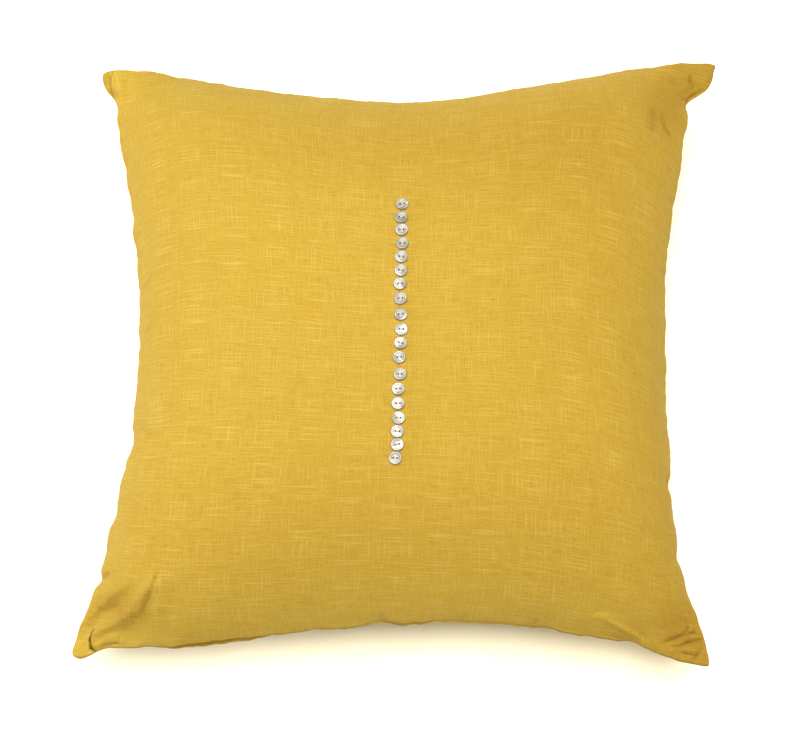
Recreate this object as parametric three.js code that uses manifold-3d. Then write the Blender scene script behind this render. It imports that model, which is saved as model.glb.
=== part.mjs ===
// Square throw pillow that lies on its back: a filled linen cushion with a row of shell buttons on its face.
// Millimetres, +Z up out of the face, +Y towards the top edge, origin on the floor under the middle.
//
// The cushion is worked out on its flat cover. A place on either panel has pattern coordinates u (left to
// right) and v (bottom to top), both from -1 to 1, with the four seams at -1 and 1. Folds and buttons are
// measured on that flat cover, in millimetres from its middle, and pulls in a seam in millimetres along it.

import * as THREE from 'three';
import { mergeVertices } from 'three/addons/utils/BufferGeometryUtils.js';
import Module from 'manifold-3d';

// Cover and filling
const COVER_SIDE = 508;
const HALF_COVER = COVER_SIDE / 2;
const CLOTH_THICKNESS = 1.0;
const SEAM_HEIGHT = 70;
const FRONT_RISE = 82;
const BACK_FALL = 80;

// Section from the middle of a panel to its seam: the slope grows to EDGE_SLOPE as a power of the way out
const EDGE_SLOPE = THREE.MathUtils.degToRad(84);
const BEND_POWER = 2.7;
const SECTION_STEPS = 400;

// Floor contact: the back is pressed flat where the filling would push it below the floor
const CONTACT_SOFTNESS = 5;

// Panel grid, closer together near the seams where the cloth bends most
const PANEL_CELLS = 46;
const GRID_CROWDING = 0.45;

// The drawn-out corners, and how far each one is lifted above the height of the seam
const CORNERS = {
  bottomLeft: { x: -255, y: -241, lift: -8 },
  bottomRight: { x: 242, y: -249.5, lift: -10 },
  topLeft: { x: -242, y: 239.5, lift: 2 },
  topRight: { x: 255.5, y: 247.5, lift: 4 },
};
const LIFT_REACH = 0.35;
const TIP_ROUNDING = 4.5;

// The four seams, each between two corners, with the way inwards from it
const SIDES = {
  left: { from: 'bottomLeft', to: 'topLeft', inward: [1, 0] },
  right: { from: 'bottomRight', to: 'topRight', inward: [-1, 0] },
  bottom: { from: 'bottomLeft', to: 'bottomRight', inward: [0, 1] },
  top: { from: 'topLeft', to: 'topRight', inward: [0, -1] },
};

// How far the filling draws each seam in: the depth, the fraction of the way along where it is deepest, and
// powers that say how hollow the curve is before and after that place
const DRAW_INS = {
  left: { depth: 43, deepest: 0.5, startPower: 1.15, endPower: 1 },
  right: { depth: 41, deepest: 0.55, startPower: 1.05, endPower: 0.9 },
  bottom: { depth: 29, deepest: 0.6, startPower: 1.6, endPower: 1 },
  top: { depth: 31, deepest: 0.5, startPower: 2.2, endPower: 2.8 },
};

// Short pulls and flaps in the seams, mostly at the necks of the corners, with their depth inwards
const NIPS = [
  { side: 'left', along: 40, halfWidth: 16, depth: 1.5 },
  { side: 'left', along: 64, halfWidth: 6, depth: 3.5 },
  { side: 'left', along: 76, halfWidth: 22, depth: 2 },
  { side: 'left', along: 456, halfWidth: 18, depth: 2.5 },
  { side: 'left', along: 478, halfWidth: 11, depth: 5.5 },
  { side: 'right', along: 60, halfWidth: 24, depth: 3 },
  { side: 'right', along: 96, halfWidth: 30, depth: 5 },
  { side: 'right', along: 132, halfWidth: 20, depth: 2.5 },
  { side: 'right', along: 444, halfWidth: 14, depth: 3 },
  { side: 'right', along: 462, halfWidth: 9, depth: 3.5 },
  { side: 'right', along: 472, halfWidth: 8, depth: 8 },
  { side: 'right', along: 490, halfWidth: 9, depth: -5 },
  { side: 'top', along: 14, halfWidth: 14, depth: -2.5 },
  { side: 'top', along: 44, halfWidth: 20, depth: -2.5 },
  { side: 'bottom', along: 8, halfWidth: 6, depth: -1.5 },
  { side: 'bottom', along: 30, halfWidth: 13, depth: 5.5 },
  { side: 'bottom', along: 58, halfWidth: 16, depth: 3.6 },
  { side: 'bottom', along: 196, halfWidth: 8, depth: 2 },
  { side: 'bottom', along: 244, halfWidth: 13, depth: 3.8 },
  { side: 'bottom', along: 289, halfWidth: 18, depth: 1.1 },
  { side: 'bottom', along: 325, halfWidth: 60, depth: 3.9 },
  { side: 'bottom', along: 376, halfWidth: 15, depth: 2.2 },
  { side: 'bottom', along: 416, halfWidth: 10, depth: -1 },
  { side: 'bottom', along: 420, halfWidth: 16, depth: 2.5 },
  { side: 'bottom', along: 445, halfWidth: 9, depth: 4 },
  { side: 'bottom', along: 484, halfWidth: 12, depth: -2 },
];
const NIP_FADE = 22;

// Soft folds of the face, each from one place on the pattern to another; a negative height is a trough
const FOLDS = [
  { from: [-243, 253], to: [-251, 230], halfWidth: 4, height: -2.5 },
  { from: [-236, 250], to: [-243, 226], halfWidth: 6, height: 3 },
  { from: [-221, 226], to: [-200, 176], halfWidth: 11, height: 1.5 },
  { from: [208, 250], to: [230, 239], halfWidth: 8, height: 3.5 },
  { from: [252, 219], to: [240, 214], halfWidth: 5, height: -3 },
  { from: [236, 235], to: [249, 228], halfWidth: 5, height: -2 },
  { from: [250, 240], to: [226, 222], halfWidth: 8, height: 2.5 },
  { from: [202, 188], to: [203, 172], halfWidth: 7, height: -1.5 },
  { from: [220, 178], to: [216, 187], halfWidth: 7, height: -2 },
  { from: [-237, -235], to: [-210, -222], halfWidth: 6, height: 4.5 },
  { from: [-210, -222], to: [-183, -192], halfWidth: 7, height: 5 },
  { from: [-250, -229], to: [-206, -202], halfWidth: 8, height: -3.5 },
  { from: [-181, -184], to: [-190, -210], halfWidth: 4, height: -1.5 },
  { from: [-172, -186], to: [-176, -212], halfWidth: 8, height: 2.5 },
  { from: [197, -253], to: [160, -229], halfWidth: 6, height: 4.5 },
  { from: [188, -254], to: [152, -240], halfWidth: 6, height: -2.5 },
  { from: [213, -228], to: [247, -219], halfWidth: 10, height: -1.5 },
  { from: [218, -240], to: [244, -232], halfWidth: 6, height: -1.5 },
  { from: [-5, -246], to: [-8, -222], halfWidth: 8, height: -1.3 },
  { from: [54, -246], to: [57, -224], halfWidth: 8, height: -1.3 },
  { from: [110, -247], to: [113, -226], halfWidth: 8, height: -1.3 },
];
const FOLD_SEAM_FADE = 6;
const DEEPEST_FOLD = 0.6;

// Two-hole shell button
const BUTTON_RADIUS = 4.95;
const BUTTON_FOOT_RADIUS = 4.2;
const BUTTON_WIDEST_AT = 0.9;
const BUTTON_THICKNESS = 2.0;
const RIM_RADIUS = 4.2;
const DISH_RADIUS = 3.2;
const DISH_DEPTH = 0.55;
const BUTTON_SEGMENTS = 20;
const HOLE_RADIUS = 0.68;
const HOLE_OFFSET = 1.42;
const HOLE_SEGMENTS = 8;
const BUTTON_GAP = 0.55;

// Buttons from the top of the row down: place on the pattern, and turn and tilt in degrees
const BUTTONS = [
  { along: 102.6, aside: -0.4, turn: 0, tilt: 1 },
  { along: 90.9, aside: -1, turn: -9, tilt: -1 },
  { along: 80.5, aside: -0.5, turn: -3, tilt: 2 },
  { along: 69.1, aside: 0.1, turn: 3, tilt: 0 },
  { along: 57.9, aside: -0.4, turn: -7, tilt: 1 },
  { along: 46.6, aside: -0.6, turn: -11, tilt: 0 },
  { along: 35.5, aside: -1.3, turn: 3, tilt: -2 },
  { along: 23.5, aside: -0.7, turn: 0, tilt: 1 },
  { along: 10.4, aside: -0.4, turn: 7, tilt: 0 },
  { along: -1.8, aside: 0.3, turn: -3, tilt: 2 },
  { along: -13, aside: -0.1, turn: -16, tilt: -1 },
  { along: -24.5, aside: -0.9, turn: 0, tilt: 1 },
  { along: -38.2, aside: 0, turn: -6, tilt: 0 },
  { along: -50.1, aside: -1.1, turn: 0, tilt: 1 },
  { along: -61.8, aside: -0.9, turn: 0, tilt: -1 },
  { along: -73.3, aside: -0.1, turn: -4, tilt: 0 },
  { along: -83.8, aside: -0.6, turn: -9, tilt: 1 },
  { along: -94.1, aside: -0.3, turn: 11, tilt: 1 },
  { along: -104.5, aside: -1.3, turn: -4, tilt: 0 },
];

// Colours as they look in plain light
const LINEN_COLOUR = 0xd9ae48;
const SHELL_COLOURS = [0xd8d6cf, 0xc9c8c6, 0xe6e3d8];

// Section of the filled cover

/** Running sums of the cosine and sine of a section's slope, from the middle of the panel to the seam. */
function sectionSums() {
  const reach = [0];
  const drop = [0];
  for (let step = 0; step < SECTION_STEPS; step += 1) {
    const slope = EDGE_SLOPE * ((step + 0.5) / SECTION_STEPS) ** BEND_POWER;
    reach.push(reach[step] + Math.cos(slope));
    drop.push(drop[step] + Math.sin(slope));
  }
  return { reach, drop };
}
const SECTION = sectionSums();

/** A running sum read at t, from 0 in the middle to 1 at the seam. */
function fraction(sums, t) {
  const place = Math.min(Math.abs(t), 1) * SECTION_STEPS;
  const step = Math.min(Math.floor(place), SECTION_STEPS - 1);
  return (sums[step] + (sums[step + 1] - sums[step]) * (place - step)) / sums[SECTION_STEPS];
}

/** How far out a place on the cloth lies, and how high it stands, as fractions of the whole section. */
function reachAt(t) {
  return Math.sign(t) * fraction(SECTION.reach, t);
}

function riseAt(t) {
  return 1 - fraction(SECTION.drop, t);
}

// Seams

/** Depth of the draw-in at the fraction s along a side. */
function drawInAt(name, s) {
  const { depth, deepest, startPower, endPower } = DRAW_INS[name];
  const t = s < deepest ? s / deepest : (1 - s) / (1 - deepest);
  return depth * Math.max(t * (2 - t), 0) ** (s < deepest ? startPower : endPower);
}

function cornerPoint(name) {
  const { x, y, lift } = CORNERS[name];
  return new THREE.Vector3(x, y, SEAM_HEIGHT + lift);
}

function liftAt(corner, s) {
  return corner.lift * Math.max(1 - s / LIFT_REACH, 0) ** 2;
}

/** Point of a side's smooth seam line at the fraction s of the way along it. */
function seamPoint(name, s) {
  const { from, to, inward } = SIDES[name];
  const start = CORNERS[from];
  const end = CORNERS[to];
  const inset = drawInAt(name, s);
  return new THREE.Vector3(
    THREE.MathUtils.lerp(start.x, end.x, s) + inward[0] * inset,
    THREE.MathUtils.lerp(start.y, end.y, s) + inward[1] * inset,
    SEAM_HEIGHT + liftAt(start, s) + liftAt(end, 1 - s),
  );
}

/** Moves a point by the short pulls in the seams, which fade over a little cloth. */
function addNips(point, u, v) {
  for (const { side, along, halfWidth, depth } of NIPS) {
    const [towardsX, towardsY] = SIDES[side].inward;
    const run = towardsX === 0 ? u : v;
    const across = towardsX === 0 ? v : u;
    const fromSeam = (1 + across * (towardsX + towardsY)) * HALF_COVER;
    const off = ((run + 1) * HALF_COVER - along) / halfWidth;
    const pull = depth * Math.exp(-off * off - fromSeam / NIP_FADE);
    point.x += towardsX * pull;
    point.y += towardsY * pull;
  }
}

/** Draws the cloth in at the four tips, so that each ends round and not in a point. */
function roundTips(point, u, v) {
  const fromTip = (2 - Math.abs(u) - Math.abs(v)) * HALF_COVER;
  const pull = (TIP_ROUNDING / 2) * Math.exp(-fromTip / TIP_ROUNDING);
  point.x -= Math.sign(u) * pull;
  point.y -= Math.sign(v) * pull;
}

// Panels

/** Point of the sheet that spans the four seams, before the filling lifts it. */
function spanPoint(u, v) {
  const a = (u + (reachAt(u) - u) * riseAt(v) + 1) / 2;
  const b = (v + (reachAt(v) - v) * riseAt(u) + 1) / 2;
  const point = new THREE.Vector3();
  point.addScaledVector(seamPoint('bottom', a), 1 - b);
  point.addScaledVector(seamPoint('top', a), b);
  point.addScaledVector(seamPoint('left', b), 1 - a);
  point.addScaledVector(seamPoint('right', b), a);
  point.addScaledVector(cornerPoint('bottomLeft'), -(1 - a) * (1 - b));
  point.addScaledVector(cornerPoint('bottomRight'), -a * (1 - b));
  point.addScaledVector(cornerPoint('topLeft'), -(1 - a) * b);
  point.addScaledVector(cornerPoint('topRight'), -a * b);
  addNips(point, u, v);
  roundTips(point, u, v);
  return point;
}

/** How far a place is from the nearest seam, along the flat cover. */
function seamDistance(u, v) {
  return (1 - Math.max(Math.abs(u), Math.abs(v))) * HALF_COVER;
}

/** Sum of the soft folds of the face at a place on the pattern. */
function foldHeight(u, v) {
  const place = new THREE.Vector2(u * HALF_COVER, v * HALF_COVER);
  const nearest = new THREE.Vector2();
  let height = 0;
  for (const fold of FOLDS) {
    const start = new THREE.Vector2(...fold.from);
    const way = new THREE.Vector2(...fold.to).sub(start);
    const t = THREE.MathUtils.clamp(place.clone().sub(start).dot(way) / way.lengthSq(), 0, 1);
    nearest.copy(start).addScaledVector(way, t);
    height += fold.height * Math.exp(-nearest.distanceToSquared(place) / fold.halfWidth ** 2);
  }
  return height * (1 - Math.exp(-seamDistance(u, v) / FOLD_SEAM_FADE));
}

/** Height of the bare panel over the spanning sheet, for a filling that would lift its middle by rise. */
function crownHeight(u, v, rise) {
  const cloth = CLOTH_THICKNESS * (1 - Math.exp(-seamDistance(u, v) / FOLD_SEAM_FADE));
  return rise * riseAt(u) * riseAt(v) + cloth;
}

function facePoint(u, v) {
  const point = spanPoint(u, v);
  const crown = crownHeight(u, v, FRONT_RISE);
  point.z += crown + Math.max(foldHeight(u, v), -DEEPEST_FOLD * crown);
  return point;
}

/** The floor's push: zero below it, and an easy bend where the cloth comes up off it. */
function aboveFloor(z) {
  if (z <= -CONTACT_SOFTNESS) {
    return 0;
  }
  return z >= CONTACT_SOFTNESS ? z : (z + CONTACT_SOFTNESS) ** 2 / (4 * CONTACT_SOFTNESS);
}

function backPoint(u, v) {
  const point = spanPoint(u, v);
  point.z = aboveFloor(point.z - crownHeight(u, v, BACK_FALL));
  return point;
}

// Cushion

/** Pattern coordinates of the grid lines, from -1 to 1. */
function gridLines() {
  const lines = [];
  for (let i = 0; i <= PANEL_CELLS; i += 1) {
    const even = (2 * i) / PANEL_CELLS - 1;
    lines.push(even + (GRID_CROWDING * Math.sin(Math.PI * even)) / Math.PI);
  }
  lines[0] = -1;
  lines[PANEL_CELLS] = 1;
  return lines;
}

/** Closed body of the two panels, which share the points of the seam. */
function cushionGeometry() {
  const lines = gridLines();
  const positions = [];
  const onSeam = (i, j) => i === 0 || j === 0 || i === PANEL_CELLS || j === PANEL_CELLS;
  const addPoint = (point) => positions.push(point.x, point.y, point.z) / 3 - 1;
  const backIndex = (i, j) => addPoint(backPoint(lines[i], lines[j]));
  const face = lines.map((u) => lines.map((v) => addPoint(facePoint(u, v))));
  const back = face.map((line, i) => line.map((shared, j) => (onSeam(i, j) ? shared : backIndex(i, j))));
  const index = [];
  for (let i = 0; i < PANEL_CELLS; i += 1) {
    for (let j = 0; j < PANEL_CELLS; j += 1) {
      // The diagonal runs out to the nearest corner, so that no triangle lies in the seam alone.
      const risingDiagonal = i < PANEL_CELLS / 2 === j < PANEL_CELLS / 2;
      index.push(...cellTriangles(face, i, j, risingDiagonal, false));
      index.push(...cellTriangles(back, i, j, risingDiagonal, true));
    }
  }
  const geometry = new THREE.BufferGeometry();
  geometry.setAttribute('position', new THREE.Float32BufferAttribute(positions, 3));
  geometry.setIndex(index);
  geometry.computeVertexNormals();
  return geometry;
}

/** Two triangles of one grid cell, facing up, or down for the back panel. */
function cellTriangles(panel, i, j, risingDiagonal, facingDown) {
  const near = panel[i][j];
  const right = panel[i + 1][j];
  const far = panel[i + 1][j + 1];
  const left = panel[i][j + 1];
  const up = risingDiagonal ? [near, right, far, near, far, left] : [near, right, left, right, far, left];
  return facingDown ? up.reverse() : up;
}

// Buttons

const wasm = await Module();
wasm.setup();

function toSolid(geometry) {
  geometry.deleteAttribute('normal');
  geometry.deleteAttribute('uv');
  const merged = mergeVertices(geometry, 1e-4);
  return new wasm.Manifold(
    new wasm.Mesh({
      numProp: 3,
      vertProperties: new Float32Array(merged.attributes.position.array),
      triVerts: new Uint32Array(merged.index.array),
    }),
  );
}

function toGeometry(solid) {
  const mesh = solid.getMesh();
  const geometry = new THREE.BufferGeometry();
  geometry.setAttribute('position', new THREE.Float32BufferAttribute(mesh.vertProperties, 3));
  geometry.setIndex([...mesh.triVerts]);
  geometry.computeVertexNormals();
  return geometry;
}

/** Turned blank of a button, foot at z = 0: rounded edge, raised rim and dished middle. */
function buttonBlank() {
  const profile = [
    [0, 0],
    [BUTTON_FOOT_RADIUS, 0],
    [BUTTON_RADIUS, BUTTON_WIDEST_AT],
    [RIM_RADIUS, BUTTON_THICKNESS],
    [DISH_RADIUS, BUTTON_THICKNESS - DISH_DEPTH],
    [0, BUTTON_THICKNESS - DISH_DEPTH],
  ].map(([radius, height]) => new THREE.Vector2(radius, height));
  return new THREE.LatheGeometry(profile, BUTTON_SEGMENTS).rotateX(Math.PI / 2);
}

/** Two-hole button, with the holes side by side along X. */
function buttonGeometry() {
  let button = toSolid(buttonBlank());
  for (const x of [-HOLE_OFFSET, HOLE_OFFSET]) {
    const drill = new THREE.CylinderGeometry(HOLE_RADIUS, HOLE_RADIUS, 3 * BUTTON_THICKNESS, HOLE_SEGMENTS);
    button = button.subtract(toSolid(drill.rotateX(Math.PI / 2).translate(x, 0, 0)));
  }
  return toGeometry(button);
}

/** Position and rotation of a button that lies on the face at its place in the row. */
function buttonPlacement({ along, aside, turn, tilt }) {
  const u = aside / HALF_COVER;
  const v = along / HALF_COVER;
  const step = BUTTON_RADIUS / HALF_COVER;
  const rightward = facePoint(u + step, v).sub(facePoint(u - step, v));
  const upward = facePoint(u, v + step).sub(facePoint(u, v - step));
  const normal = rightward.clone().cross(upward).normalize();
  const xAxis = rightward.normalize();
  const basis = new THREE.Matrix4().makeBasis(xAxis, normal.clone().cross(xAxis), normal);
  const local = new THREE.Euler(THREE.MathUtils.degToRad(tilt), 0, THREE.MathUtils.degToRad(turn));
  const quaternion = new THREE.Quaternion().setFromRotationMatrix(basis);
  quaternion.multiply(new THREE.Quaternion().setFromEuler(local));
  const tiltRoom = BUTTON_FOOT_RADIUS * Math.sin(THREE.MathUtils.degToRad(Math.abs(tilt)));
  return { position: facePoint(u, v).addScaledVector(normal, BUTTON_GAP + tiltRoom), quaternion };
}

// Assembly

function cushionMesh() {
  const material = new THREE.MeshStandardMaterial({ color: LINEN_COLOUR, roughness: 0.95, metalness: 0 });
  const cushion = new THREE.Mesh(cushionGeometry(), material);
  cushion.name = 'cushion';
  return cushion;
}

function buttonMeshes() {
  const geometry = buttonGeometry();
  return BUTTONS.map((row, i) => {
    const color = SHELL_COLOURS[i % SHELL_COLOURS.length];
    const material = new THREE.MeshStandardMaterial({ color, roughness: 0.25, metalness: 0 });
    const button = new THREE.Mesh(geometry, material);
    const { position, quaternion } = buttonPlacement(row);
    button.name = `button_${String(i + 1).padStart(2, '0')}`;
    button.position.copy(position);
    button.quaternion.copy(quaternion);
    return button;
  });
}

const pillow = new THREE.Group();
pillow.add(cushionMesh(), ...buttonMeshes());

export default pillow;
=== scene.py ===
# Square throw pillow on a pale floor: slub linen cover, drawn-out corners and a row of shell buttons.
# Metres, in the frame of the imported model. The cover and the buttons are worked out in millimetres, and
# turned into metres where the meshes are made.
import math

import bpy
import numpy as np
from mathutils import Euler, Matrix, Vector
from mathutils.geometry import delaunay_2d_cdt


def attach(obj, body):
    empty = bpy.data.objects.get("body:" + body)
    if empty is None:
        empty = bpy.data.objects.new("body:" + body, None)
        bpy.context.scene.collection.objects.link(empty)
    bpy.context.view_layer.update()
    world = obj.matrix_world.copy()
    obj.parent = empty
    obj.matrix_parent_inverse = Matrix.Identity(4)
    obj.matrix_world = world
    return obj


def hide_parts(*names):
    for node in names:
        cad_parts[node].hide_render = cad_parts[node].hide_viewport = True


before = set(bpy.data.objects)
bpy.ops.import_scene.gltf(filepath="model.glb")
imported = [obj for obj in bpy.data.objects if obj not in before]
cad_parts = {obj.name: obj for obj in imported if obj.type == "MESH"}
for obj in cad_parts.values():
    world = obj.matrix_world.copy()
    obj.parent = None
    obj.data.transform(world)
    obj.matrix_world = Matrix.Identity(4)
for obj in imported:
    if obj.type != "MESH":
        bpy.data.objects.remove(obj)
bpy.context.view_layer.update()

MM = 0.001

# Cover and filling, in mm
COVER_SIDE = 508.0
HALF_COVER = COVER_SIDE / 2
CLOTH_THICKNESS = 1.0
SEAM_HEIGHT = 70.0
FRONT_RISE = 82.0
BACK_FALL = 80.0
EDGE_SLOPE = math.radians(84)
BEND_POWER = 2.7
SECTION_STEPS = 400
CONTACT_SOFTNESS = 5.0
GRID_CROWDING = 0.6

# Corners of the seam: x, y and lift above its height, in mm
CORNERS = {
    "bottom_left": (-255.0, -241.0, -8.0),
    "bottom_right": (242.0, -249.5, -10.0),
    "top_left": (-242.0, 239.5, 2.0),
    "top_right": (255.5, 247.5, 4.0),
}
LIFT_REACH = 0.35
TIP_ROUNDING = 4.5

# Seams: the corners at their ends, and the way inwards
SIDES = {
    "left": ("bottom_left", "top_left", (1, 0)),
    "right": ("bottom_right", "top_right", (-1, 0)),
    "bottom": ("bottom_left", "bottom_right", (0, 1)),
    "top": ("top_left", "top_right", (0, -1)),
}

# How far each seam is drawn in: depth in mm, where it is deepest, and a power for the curve before and after
DRAW_INS = {
    "left": (43.0, 0.5, 1.15, 1.0),
    "right": (41.0, 0.55, 1.05, 0.9),
    "bottom": (29.0, 0.6, 1.6, 1.0),
    "top": (31.0, 0.5, 2.2, 2.8),
}

# Short pulls in the seams: side, mm along it, half width, depth inwards
NIPS = [
    ("left", 40, 16, 1.5),
    ("left", 64, 6, 3.5),
    ("left", 76, 22, 2.0),
    ("left", 456, 18, 2.5),
    ("left", 478, 11, 5.5),
    ("right", 60, 24, 3.0),
    ("right", 96, 30, 5.0),
    ("right", 132, 20, 2.5),
    ("right", 444, 14, 3.0),
    ("right", 462, 9, 3.5),
    ("right", 472, 8, 8.0),
    ("right", 490, 9, -5.0),
    ("top", 14, 14, -2.5),
    ("top", 44, 20, -2.5),
    ("bottom", 8, 6, -1.5),
    ("bottom", 30, 13, 5.5),
    ("bottom", 58, 16, 3.6),
    ("bottom", 196, 8, 2.0),
    ("bottom", 244, 13, 3.8),
    ("bottom", 289, 18, 1.1),
    ("bottom", 325, 60, 3.9),
    ("bottom", 376, 15, 2.2),
    ("bottom", 416, 10, -1.0),
    ("bottom", 420, 16, 2.5),
    ("bottom", 445, 9, 4.0),
    ("bottom", 484, 12, -2.0),
]
NIP_FADE = 22.0

# Soft folds of the face on the pattern, in mm: from, to, half width, height
FOLDS = [
    ((-243, 253), (-251, 230), 4, -2.5),
    ((-236, 250), (-243, 226), 6, 3.0),
    ((-221, 226), (-200, 176), 11, 1.5),
    ((208, 250), (230, 239), 8, 3.5),
    ((252, 219), (240, 214), 5, -3.0),
    ((236, 235), (249, 228), 5, -2.0),
    ((250, 240), (226, 222), 8, 2.5),
    ((202, 188), (203, 172), 7, -1.5),
    ((220, 178), (216, 187), 7, -2.0),
    ((-237, -235), (-210, -222), 6, 4.5),
    ((-210, -222), (-183, -192), 7, 5.0),
    ((-250, -229), (-206, -202), 8, -3.5),
    ((-181, -184), (-190, -210), 4, -1.5),
    ((-172, -186), (-176, -212), 8, 2.5),
    ((197, -253), (160, -229), 6, 4.5),
    ((188, -254), (152, -240), 6, -2.5),
    ((213, -228), (247, -219), 10, -1.5),
    ((218, -240), (244, -232), 6, -1.5),
    ((-5, -246), (-8, -222), 8, -1.3),
    ((54, -246), (57, -224), 8, -1.3),
    ((110, -247), (113, -226), 8, -1.3),
]
FOLD_SEAM_FADE = 6.0
DEEPEST_FOLD = 0.6

# Sharp creases that only the finished cover has: from, to, half width, height, and the step up to their left
CREASES = [
    ((-238, -231), (-239.8, -239.5), 0.9, -4.5, 0.9),
    ((-239.8, -239.5), (-238, -247), 0.9, -5.0, 1.0),
    ((-238, -247), (-233, -254), 0.9, -4.5, 0.9),
    ((-231, -246), (-235, -237), 4, 1.5, 0),
    ((-236, -232.5), (-219, -224.5), 1.8, -0.7, -0.7),
    ((-219, -224.5), (-198, -212), 2.2, -0.4, -0.7),
    ((-198, -212), (-185, -196), 2.6, -0.4, -0.6),
    ((-180, -184), (-184.5, -198), 1.1, -1.6, -1.2),
    ((-184.5, -198), (-192, -214), 1.5, -1.0, -0.8),
    ((-246, -186.5), (-234, -183), 2.2, -1.6, 0.8),
    ((-226, -243), (-214, -236), 3, 1.2, 0),
    ((-228, -251), (-216, -247), 2.0, -1.5, 0.8),
    ((-236, -214), (-216, -207), 3, -0.8, 0.4),
    ((-226, -205), (-208, -196), 3, -0.6, 0.4),
    ((-243, 253), (-247.5, 245), 1.1, -1.4, 1.6),
    ((-247.5, 245), (-249.5, 235.5), 1.1, -1.6, 2.0),
    ((-249.5, 235.5), (-252.5, 229), 1.1, -1.8, 2.0),
    ((-243.5, 242), (-248.5, 231), 1.4, -0.9, 0.3),
    ((247, 223), (251.5, 229), 1.3, -1.6, 0.6),
    ((253, 217.5), (247, 219.5), 1.2, -1.8, 1.6),
    ((247, 219.5), (241, 217), 1.5, -1.2, 1.0),
    ((234, 238), (236, 232.5), 1.2, -1.6, 0.7),
    ((236, 232.5), (242, 228), 1.2, -1.4, 0.7),
    ((226, 231), (236, 226.5), 3, 1.0, 0),
    ((223, 176), (216.5, 179.5), 2.4, -1.6, 0.8),
    ((216.5, 179.5), (212, 188), 3.4, -0.6, 0.5),
    ((202, 190), (201, 172), 5.0, -0.9, -0.6),
    ((217, -238.5), (228, -231), 1.3, -1.3, 0.6),
    ((228, -231), (245, -226), 1.3, -1.3, 0.5),
    ((223, -242.5), (236, -235.5), 1.2, -1.3, 0.5),
    ((236, -235.5), (250, -232), 1.3, -1.5, 0.6),
    ((231, -246), (244, -246), 1.3, -1.6, 0.5),
    ((232.5, -229), (239, -222), 1.5, -1.3, -0.6),
    ((222, -247), (228, -239), 1.8, 1.2, 0),
    ((238, -241), (247, -238.5), 1.8, 1.2, 0),
    ((240, -250), (246, -243), 1.5, -1.1, 0.4),
    ((198, -253.5), (189, -249.5), 1.3, -1.0, -2.2),
    ((189, -249.5), (178, -241), 1.5, -0.8, -1.1),
    ((178, -241), (164, -232), 2.4, -0.5, -0.2),
    ((174, -247), (181, -249), 1.8, -1.2, 0),
    ((-221, 57), (-236, 50), 2.5, -0.7, 0.3),
    ((-214, 21), (-232, 14), 2.5, -0.6, 0.3),
    ((-207, -73), (-226, -62), 3.0, -0.6, 0.3),
    ((253, 71), (238, 66), 2.5, -1.0, 0.4),
    ((253, -110), (236, -104), 2.5, -1.2, 0.4),
    ((-5, -252), (-7, -238), 2.0, -1.4, 0),
    ((54, -252), (57, -240), 2.0, -1.2, 0),
    ((110, -252), (112, -240), 2.0, -1.2, 0),
]
STEP_REACH = 6.0
CREASE_SEAM_FADE = 2.0

# Waves of the seam: millimetres from one to the next, height, way outwards, and phase
SEAM_WAVES = [
    (7.3, 0.20, 0.08, 0.4),
    (11.9, 0.28, 0.14, 2.1),
    (19.3, 0.35, 0.20, 4.4),
    (33.7, 0.40, 0.30, 1.3),
    (58.0, 0.30, 0.35, 2.9),
]
SEAM_WAVE_FADE = 9.0

# How unevenly the waves follow each other: swing in radians and reach in mm, of a slow and of a quick change
SLOW_SWING = (1.5, 61.0)
QUICK_SWING = (1.1, 23.0)

# Rolled seam in mm: height, way outwards, width, reach inwards; how fast it turns from one side to the next
SEAM_ROLL = 1.6
SEAM_ROLL_OUT = 0.6
SEAM_ROLL_WIDTH = 1.7
SEAM_ROLL_REACH = 30.0
CORNER_TURN = 12.0

# Painted shade in the cloth's colour: its half width and strength along the seam's stitches, and the depth in
# mm of a crease's furrow at which it is darkest
STITCH_WIDTH = 0.9
STITCH_SHADE = 0.8
DARKEST_FURROW = 4.0

# Slight pulls in the seams that only the finished cover has, in the columns of NIPS
COVER_NIPS = [
    ("left", 181, 14, 3.2),
    ("left", 118, 7, 2.0),
    ("left", 359, 6, -1.6),
    ("left", 376, 5, 1.2),
    ("left", 421, 6, 1.6),
    ("left", 484, 6, 1.0),
    ("right", 147, 7, 4.0),
    ("right", 87, 6, 3.0),
    ("right", 262, 50, -2.1),
    ("right", 447, 26, 1.5),
    ("right", 489, 6, 1.4),
    ("right", 505, 7, -1.9),
    ("top", 200, 26, -1.5),
    ("top", 330, 24, -1.4),
    ("top", 413, 40, 1.4),
    ("top", 115, 12, 1.4),
    ("top", 248, 5, 1.6),
]

# Where the back panel comes out past the seam: side, mm along it, half width, and how far out
SEAM_LIPS = [
    ("bottom", 115, 34, 2.4),
    ("bottom", 268, 20, 0.8),
]

# Patches of painted shade, which deepen the cloth's tone, and below zero of painted light, which pales it; in
# the gathered corners they are partly also the cloth's own deeper colour: x and y on the pattern in mm, half
# width across, half width along the height, and share
PAINTED_LIGHT_SHADE_AND_TONE = [
    (245, -245, 55, 55, 0.42),
    (250, 250, 50, 50, 0.38),
    (214, 195, 22, 28, 0.34),
    (222, 228, 14, 10, 0.18),
    (-243, 243, 26, 26, -0.36),
    (-212, -208, 30, 14, 0.34),
    (-203, -218, 14, 7, 0.34),
    (-242, -222, 12, 18, 0.20),
    (-215, -245, 40, 10, -0.48),
    (230, -225, 25, 20, 0.22),
    (0, -242, 170, 36, -0.50),
    (0, -150, 260, 45, 0.10),
    (-70, 60, 120, 90, -0.10),
    (114, 150, 110, 62, 0.20),
    (218, -80, 34, 120, 0.10),
    (-50, 150, 90, 45, 0.09),
]

# Cells along a side of the finished cover
COVER_CELLS = 220

# Cloth simulation: cells along a side, size of the rest shape against the cover, and frames
SIM_CELLS = 68
FLAT_FIT = 1.01
SIM_FRAMES = 20

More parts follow.
